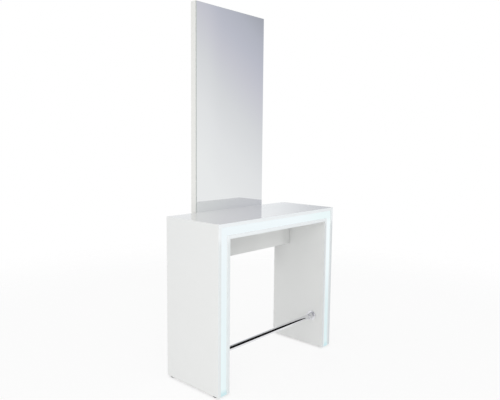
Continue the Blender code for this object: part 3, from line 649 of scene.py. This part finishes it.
zinc_steel, start, shader = new_finish("zinc_steel", metallic=1.0)
spangle = start.node("ShaderNodeTexVoronoi", None, {"Scale": 320.0}, "Color")
spangle = start.node("ShaderNodeSeparateColor", None, {"Color": spangle}, "Red")
start.mix(spangle, paint(196, 199, 203), paint(212, 213, 212)).feed(shader, "Base Color")
(0.28 + spangle * 0.16).feed(shader, "Roughness")
raise_surface(clouds(start, 1400, 2), shader, PLATING_DEPTH)
for level in ("upper_left", "lower_left", "upper_right", "lower_right"):
    low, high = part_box(level + "_panel_bolt")
    radius = (high.x - low.x) / 2
    shank = radius * BOLT_SHANK
    profile = [(0, 0), (radius, 0), (radius, -BOLT_HEAD), (shank, -BOLT_HEAD),
               (shank, low.y - high.y), (0, low.y - high.y)]
    key = turned([(0, KEY_DEPTH), (KEY_RADIUS, KEY_DEPTH), (KEY_RADIUS, -KEY_DEPTH), (0, -KEY_DEPTH)], 6)
    bolt = new_piece(level + "_bolt", turned(softened(profile, BOLT_EDGE), SCREW_FACETS), zinc_steel)
    smooth(carve(bolt, key))
    bolt.matrix_world = (Matrix.Translation(((low.x + high.x) / 2, high.y, (low.z + high.z) / 2))
                         @ Matrix.Rotation(-pi / 2, 4, "X"))
    fit(bolt, "station", "zinc_steel", level + "_panel_bolt")
for side in ("left", "right"):
    plate = dressed(side + "_wall_plate", side + "_hanger_plate", zinc_steel, PLATE_EDGE)
    fit(plate, "station", "zinc_steel", side + "_hanger_plate")


# Footrest: a polished chrome tube between the legs, in a turned socket of satin chrome at each end.
# Each socket is screwed to the leg with two pan-head screws.
TUBE_FACETS = 128
TUBE_WALL = 0.0015
SLEEVE_WALL = 0.0053
SLEEVE_FIT = 0.0003
SOCKET_FLOOR = 0.0025
SOCKET_EDGE = 0.0013
FLANGE_THICKNESS = 0.004
HEAD_RADIUS = 0.0038
HEAD_HEIGHT = 0.0022
HEAD_FLAT = 0.0022
HEAD_RIM = 0.0008
HEAD_EDGE = 0.0007
SCREW_SHANK = 0.002
SCREW_TAPER = 0.0015
SCREW_POINT = 0.0006
CROSS_REACH = 0.0019
CROSS_WIDTH = 0.00045
CROSS_DEPTH = 0.0011
CUT_PAST = 0.001

chrome, start, shader = new_finish("polished_chrome", metallic=1.0)
start.mix(clouds(start, 30), paint(232, 232, 234), paint(228, 228, 231)).feed(shader, "Base Color")
(0.03 + clouds(start, 500, 4, (0.05, 1, 1)) * 0.03).feed(shader, "Roughness")
satin_chrome, start, shader = new_finish("satin_chrome", metallic=1.0)
start.mix(clouds(start, 40), paint(230, 230, 233), paint(226, 226, 230)).feed(shader, "Base Color")
(0.2 + clouds(start, 900, 3) * 0.06).feed(shader, "Roughness")
tube_low, tube_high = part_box("footrest_tube")
tube_radius = (tube_high.z - tube_low.z) / 2
tube_middle = (tube_low + tube_high) / 2
half = (tube_high.x - tube_low.x) / 2
bore = tube_radius - TUBE_WALL
profile = [(bore, half), (tube_radius, half), (tube_radius, -half), (bore, -half), (bore, half)]
tube = smooth(new_piece("footrest_bar", turned(profile, TUBE_FACETS), chrome))
tube.matrix_world = Matrix.Translation(tube_middle) @ Matrix.Rotation(pi / 2, 4, "Y")
fit(tube, "station", "chrome", "footrest_tube")
for side, sign in (("left", -1), ("right", 1)):
    inwards = Matrix.Rotation(-sign * pi / 2, 4, "Y")
    low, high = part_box(side + "_footrest_socket")
    flange = (high.z - low.z) / 2
    sleeve = tube_radius + SLEEVE_WALL
    wall = high.x if sign > 0 else low.x
    mouth = high.x - low.x
    bore = tube_radius + SLEEVE_FIT
    profile = [(0, SOCKET_FLOOR), (bore, SOCKET_FLOOR), (bore, mouth), (sleeve, mouth),
               (sleeve, FLANGE_THICKNESS), (flange, FLANGE_THICKNESS), (flange, 0), (0, 0)]
    form = turned(softened(profile, SOCKET_EDGE, 4), TUBE_FACETS)
    socket = new_piece(side + "_bar_socket", form, satin_chrome)
    smooth(socket, 50)
    socket.matrix_world = Matrix.Translation((wall, tube_middle.y, tube_middle.z)) @ inwards
    fit(socket, "station", "chrome", side + "_footrest_socket")
    for level in ("lower", "upper"):
        node = f"{side}_socket_screw_{level}"
        low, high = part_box(node)
        tip = high.x if sign > 0 else low.x
        length = high.x - low.x
        crown = length - HEAD_HEIGHT
        profile = [(0, length), (HEAD_FLAT, length), (HEAD_RADIUS, crown + HEAD_RIM), (HEAD_RADIUS, crown),
                   (SCREW_SHANK, crown), (SCREW_SHANK, SCREW_TAPER), (SCREW_POINT, 0), (0, 0)]
        screw = new_piece(node + "_head", turned(softened(profile, HEAD_EDGE), SCREW_FACETS), chrome)
        slots = []
        for reach, width in ((CROSS_REACH, CROSS_WIDTH), (CROSS_WIDTH, CROSS_REACH)):
            slot_form = bmesh.new()
            add_block(slot_form, (-reach, -width, length - CROSS_DEPTH), (reach, width, length + CUT_PAST))
            slots.append(slot_form)
        smooth(carve(screw, *slots))
        screw.matrix_world = Matrix.Translation((tip, (low.y + high.y) / 2, (low.z + high.z) / 2)) @ inwards
        fit(screw, "station", "chrome", node)


# Feet: black nylon pads moulded on zinc-plated M8 studs, which screw into brass inserts in the sole blocks.
# Turning a pad by its ribbed edge lifts or lowers the station.
PITCH = 0.00125
THREAD = 0.0007
TURN_STEPS = 28
PITCH_STEPS = 6
PAD_RIBS = 36
THREAD_CREST = 1.6
THREAD_SLOPE = 4.4
STUD_GAP = 0.0003
PAD_BORE = 0.0043
HUB_RADIUS = 0.008
HUB_FOOT = 0.0095
HUB_RISE = 0.0012
DISH_RIM = 0.0045
DISH_DROP = 0.0016
SHOULDER_DROP = 0.0034
PAD_CHAMFER = 0.001
PAD_ROUNDING = 0.0009
RIB_BAND = 0.0012
PAD_RIB_DEPTH = 0.022
CORNERS = ("front_left", "rear_left", "front_right", "rear_right")

brass, start, shader = new_finish("insert_brass", metallic=1.0)
tarnish = clouds(start, 240, 3)
start.mix(tarnish, paint(221, 190, 118), paint(190, 154, 84)).feed(shader, "Base Color")
(0.25 + tarnish * 0.2).feed(shader, "Roughness")
raise_surface(clouds(start, 1600, 2), shader, PLATING_DEPTH)


def threaded(radius, length):
    """A rod with a rolled thread, from 0 up to a length."""
    form = bmesh.new()
    rows = int(length / PITCH * PITCH_STEPS)
    rings = []
    for row in range(rows + 1):
        height = length * row / rows
        ring = []
        for number in range(TURN_STEPS):
            angle = 2 * pi * number / TURN_STEPS
            phase = (height / PITCH - number / TURN_STEPS) % 1
            ridge = min(1, max(0, THREAD_CREST - abs(phase - 0.5) * THREAD_SLOPE))
            taper = min(1, height / PITCH, (length - height) / PITCH)
            reach = radius - THREAD + THREAD * ridge * taper
            ring.append(form.verts.new((reach * cos(angle), reach * sin(angle), height)))
        rings.append(ring)
    for ring, following in zip(rings, rings[1:]):
        for number in range(TURN_STEPS):
            form.faces.new((ring[number - 1], ring[number], following[number], following[number - 1]))
    form.faces.new(reversed(rings[0]))
    form.faces.new(rings[-1])
    return form


for corner in CORNERS:
    low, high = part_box("foot_stud_" + corner)
    stud = new_piece("threaded_stud_" + corner, threaded((high.x - low.x) / 2, high.z - low.z), zinc_steel)
    smooth(stud)
    stud.location = ((low.x + high.x) / 2, (low.y + high.y) / 2, low.z)
    fit(stud, "stud_" + corner, "zinc_steel", "foot_stud_" + corner)
    socket_floor = low.z - STUD_GAP
    low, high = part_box("foot_pad_" + corner)
    radius = (high.x - low.x) / 2
    profile = [(0, socket_floor), (PAD_BORE, socket_floor), (PAD_BORE, high.z), (HUB_RADIUS, high.z),
               (HUB_FOOT, high.z - HUB_RISE), (radius - DISH_RIM, high.z - DISH_DROP),
               (radius, high.z - SHOULDER_DROP), (radius, PAD_CHAMFER), (radius - PAD_CHAMFER, 0), (0, 0)]
    form = turned(softened(profile, PAD_ROUNDING), PAD_RIBS * 4)
    for point in form.verts:
        if point.co.xy.length > radius - RIB_BAND:
            angle = Vector((point.co.x, point.co.y)).angle_signed(Vector((1, 0)), 0.0)
            point.co.xy *= 1 - PAD_RIB_DEPTH * (1 + cos(PAD_RIBS * angle)) / 2
    pad = smooth(new_piece("ribbed_pad_" + corner, form, black_nylon))
    pad.location = ((low.x + high.x) / 2, (low.y + high.y) / 2, 0)
    fit(pad, "pad_" + corner, "black_nylon", "foot_pad_" + corner)
coat(brass, *("foot_insert_" + corner for corner in CORNERS))


# Studio floor: a matt white disc that fades out into the white background and keeps the soft shadow.
# It is whitened for the eye and for polished faces, less so under the legs, and is clear from below.
FLOOR_RADIUS = 4.0
FLOOR_FADE = (FLOOR_RADIUS * 0.5, FLOOR_RADIUS * 0.98)
FLOOR_WHITENING = 0.86
LEG_SHADOW = 0.3
LEG_INSIDE = (0.40, 0.43)
LEG_OUTSIDE = (0.49, 0.52)
LEG_FRONT = (-0.24, -0.21)
LEG_BACK = (0.16, 0.19)
form = bmesh.new()
bmesh.ops.create_circle(form, cap_ends=True, radius=FLOOR_RADIUS, segments=96)
floor_finish, start, shader = new_finish("studio_floor", roughness=0.9, specular_ior_level=0.0)
place = start.node("ShaderNodeTexCoord", output="Object")
reach = start.node("ShaderNodeVectorMath", {"operation": "LENGTH"}, {0: place}, "Value")
seen = start.node("ShaderNodeLightPath", output="Is Camera Ray")
mirrored = start.node("ShaderNodeLightPath", output="Is Glossy Ray")
below = start.node("ShaderNodeNewGeometry", output="Backfacing")
start.mix(clouds(start, 2), paint(250, 250, 250), paint(249, 249, 249)).feed(shader, "Base Color")
plain_white = start.node("ShaderNodeEmission", None, {"Color": (1, 1, 1, 1), "Strength": 1.0})
out = start.math("ABSOLUTE", start.node("ShaderNodeSeparateXYZ", None, {"Vector": place}, "X"))
back = start.node("ShaderNodeSeparateXYZ", None, {"Vector": place}, "Y")
under_leg = out.step(*LEG_INSIDE) * (1 - out.step(*LEG_OUTSIDE))
under_leg = under_leg * back.step(*LEG_FRONT) * (1 - back.step(*LEG_BACK))
whitened = start.math("MAXIMUM", seen, mirrored) * (FLOOR_WHITENING - under_leg * LEG_SHADOW)
surface = start.node("ShaderNodeMixShader", None,
                     {0: whitened, 1: Tone(start.tree, shader.outputs[0]), 2: plain_white})
clear = start.node("ShaderNodeBsdfTransparent")
opening = start.math("MAXIMUM", below, reach.step(*FLOOR_FADE))
surface = start.node("ShaderNodeMixShader", None, {0: opening, 1: surface, 2: clear})
surface.feed(floor_finish.node_tree.nodes["Material Output"], "Surface")
floor = new_piece("studio_floor", form, floor_finish)


# Surroundings: matt faces are lit as in a light tent, most from the left and above. The eye sees plain white.
# Polished faces see a pale room instead, which greys upwards at the front right and is dark above the camera.
DEGREES = 180 / pi
FRONT_RIGHT_START = (34, 39)
FRONT_RIGHT_END = (100, 110)
GREY_HEADINGS = (30.0, 51.0)
GREY_MIDDLE = 43
GREY_SLOPE = 1.1
GREY_STEP = (45, 43)
GREY_STEP_SIZE = 1.5
GREY_LOW = -10
GREY_SPAN = 40
DARK_START = (23, 27)
DARK_END = (46, 56)
BEHIND_START = (0.1, 0.3)
BEHIND_BRIGHT = (40, 46)
BEHIND_GREY = (49, 57)
OVERHEAD = (50, 62)
SCATTERED_SHARE = 0.5
FROM_LEFT = 0.78
FROM_FRONT = 0.6
FROM_BACK = 0.31
FROM_RIGHT = 0.17
FROM_ABOVE = 0.62
world = bpy.data.worlds.new("studio")
bpy.context.scene.world = world
world.use_nodes = True
start = Tone(world.node_tree)
direction = start.node("ShaderNodeTexCoord", output="Generated")
to_right = start.node("ShaderNodeSeparateXYZ", None, {"Vector": direction}, "X")
to_back = start.node("ShaderNodeSeparateXYZ", None, {"Vector": direction}, "Y")
upwards = start.node("ShaderNodeSeparateXYZ", None, {"Vector": direction}, "Z")
elevation = start.math("ARCSINE", upwards) * DEGREES
heading = start.math("ARCTAN2", to_right, to_back * -1) * DEGREES
to_front_right = heading.step(*FRONT_RIGHT_START) * (1 - heading.step(*FRONT_RIGHT_END))
least, most = GREY_HEADINGS
heading = start.node("ShaderNodeClamp", None, {"Value": heading, "Min": least, "Max": most})
slope = elevation + (heading - GREY_MIDDLE) * GREY_SLOPE - heading.step(*GREY_STEP) * GREY_STEP_SIZE
fall = [(-10, 0.93, 0.93, 0.93), (-4, 0.92, 0.92, 0.92), (2, 0.855, 0.855, 0.865), (7, 0.757, 0.76, 0.78),
        (11.5, 0.645, 0.64, 0.70), (14.5, 0.565, 0.57, 0.645), (17, 0.51, 0.52, 0.59), (20, 0.40, 0.41, 0.46),
        (28, 0.16, 0.16, 0.18)]
stops = [((angle - GREY_LOW) / GREY_SPAN, (red, green, blue, 1)) for angle, red, green, blue in fall]
room = start.node("ShaderNodeValToRGB", {"stops": stops}, {"Fac": (slope - GREY_LOW) * (1 / GREY_SPAN)})
dark = elevation.step(*DARK_START) * (1 - elevation.step(*DARK_END)) * to_front_right
room = start.mix(dark, room, (0.02, 0.02, 0.022, 1))
heading_behind = start.math("ARCTAN2", to_right, to_back) * DEGREES
behind = start.mix(heading_behind.step(*BEHIND_BRIGHT), (0.95, 0.97, 1.0, 1), (1.03, 1.06, 1.1, 1))
behind = start.mix(heading_behind.step(*BEHIND_GREY), behind, (0.56, 0.58, 0.64, 1))
room = start.mix(to_back.step(*BEHIND_START), room, behind)
room = start.mix(elevation.step(*OVERHEAD), room, (1, 1, 1, 1))
glossy = start.node("ShaderNodeLightPath", output="Is Glossy Ray")
through = start.node("ShaderNodeLightPath", output="Is Transmission Ray")
scattered = start.node("ShaderNodeLightPath", output="Diffuse Depth")
polished = start.math("MAXIMUM", glossy, through)
polished = polished * (1 - start.math("MINIMUM", scattered, 1.0) * SCATTERED_SHARE)
walls = ((to_right * -1, FROM_LEFT), (to_back * -1, FROM_FRONT), (to_back, FROM_BACK),
         (to_right, FROM_RIGHT), (upwards, FROM_ABOVE))
level = sum(start.math("MAXIMUM", towards, 0.0) * strength for towards, strength in walls)
tent = start.mix(level * 0.5, (0, 0, 0, 1), (2, 2, 2, 1))
light = start.mix(polished, tent, room)
seen = start.node("ShaderNodeLightPath", output="Is Camera Ray")
start.mix(seen, light, (1, 1, 1, 1)).feed(world.node_tree.nodes["Background"], "Color")
bpy.context.scene.view_settings.view_transform = "Standard"


# Black flag: a card of black cloth that stands in front of the footrest, to the right.
# Only polished faces within a metre of it see it, which gives the chrome bar its dark core.
FLAG_PLACE = -0.6
FLAG_ENDS = (0.0, 0.93)
FLAG_HEIGHTS = (0.08, 0.6)
FLAG_NEAR = (1.0, 1.03)
form = bmesh.new()
corners = [(x, FLAG_PLACE, z) for z, row in zip(FLAG_HEIGHTS, (FLAG_ENDS, FLAG_ENDS[::-1])) for x in row]
form.faces.new([form.verts.new(corner) for corner in corners])
flag_finish, start, shader = new_finish("black_flag", roughness=0.9, specular_ior_level=0.0)
start.mix(clouds(start, 40), paint(14, 14, 15), paint(9, 9, 10)).feed(shader, "Base Color")
far_off = start.node("ShaderNodeLightPath", output="Ray Length").step(*FLAG_NEAR)
surface = start.node("ShaderNodeMixShader", None, {0: far_off, 1: Tone(start.tree, shader.outputs[0]),
                                                   2: start.node("ShaderNodeBsdfTransparent")})
surface.feed(flag_finish.node_tree.nodes["Material Output"], "Surface")
flag = new_piece("black_flag", form, flag_finish)
flag.visible_camera = False
flag.visible_diffuse = False
flag.visible_shadow = False


# Key lamp: a weak softbox at the front left, at about the height of the worktop.
# It lifts the outer face of the left leg a little above the light of the tent.
KEY_PLACE = Vector((-2.4, -2.2, 0.9))
KEY_AIM = Vector((-0.2, -0.1, 0.5))
KEY_WIDTH = 1.6
KEY_HEIGHT = 1.4
KEY_POWER = 10.5
key = bpy.data.objects.new("key_softbox", bpy.data.lights.new("key_softbox", "AREA"))
key.data.shape = "RECTANGLE"
key.data.size = KEY_WIDTH
key.data.size_y = KEY_HEIGHT
key.data.energy = KEY_POWER
key.location = KEY_PLACE
key.rotation_euler = (KEY_AIM - KEY_PLACE).to_track_quat("-Z", "Y").to_euler()
bpy.context.scene.collection.objects.link(key)


# Camera: the photograph's own place, heading and lens, as fitted to the edges that it shows.
# It stands at the front left, a little above the worktop, and is rolled by half a degree.
CAMERA_PLACE = (-2.2768, -2.0272, 1.2951)
CAMERA_HEADING = radians(47.9553)
CAMERA_DIP = radians(6.2703)
CAMERA_ROLL = radians(0.5691)
SENSOR_WIDTH = 36
LENS = 37.883
camera = bpy.data.objects.new("camera", bpy.data.cameras.new("camera"))
camera.data.sensor_fit = "HORIZONTAL"
camera.data.sensor_width = SENSOR_WIDTH
camera.data.lens = LENS
camera.matrix_world = (Matrix.Translation(CAMERA_PLACE) @ Matrix.Rotation(-CAMERA_HEADING, 4, "Z")
                       @ Matrix.Rotation(pi / 2 - CAMERA_DIP, 4, "X") @ Matrix.Rotation(CAMERA_ROLL, 4, "Z"))
bpy.context.scene.collection.objects.link(camera)
bpy.context.scene.camera = camera
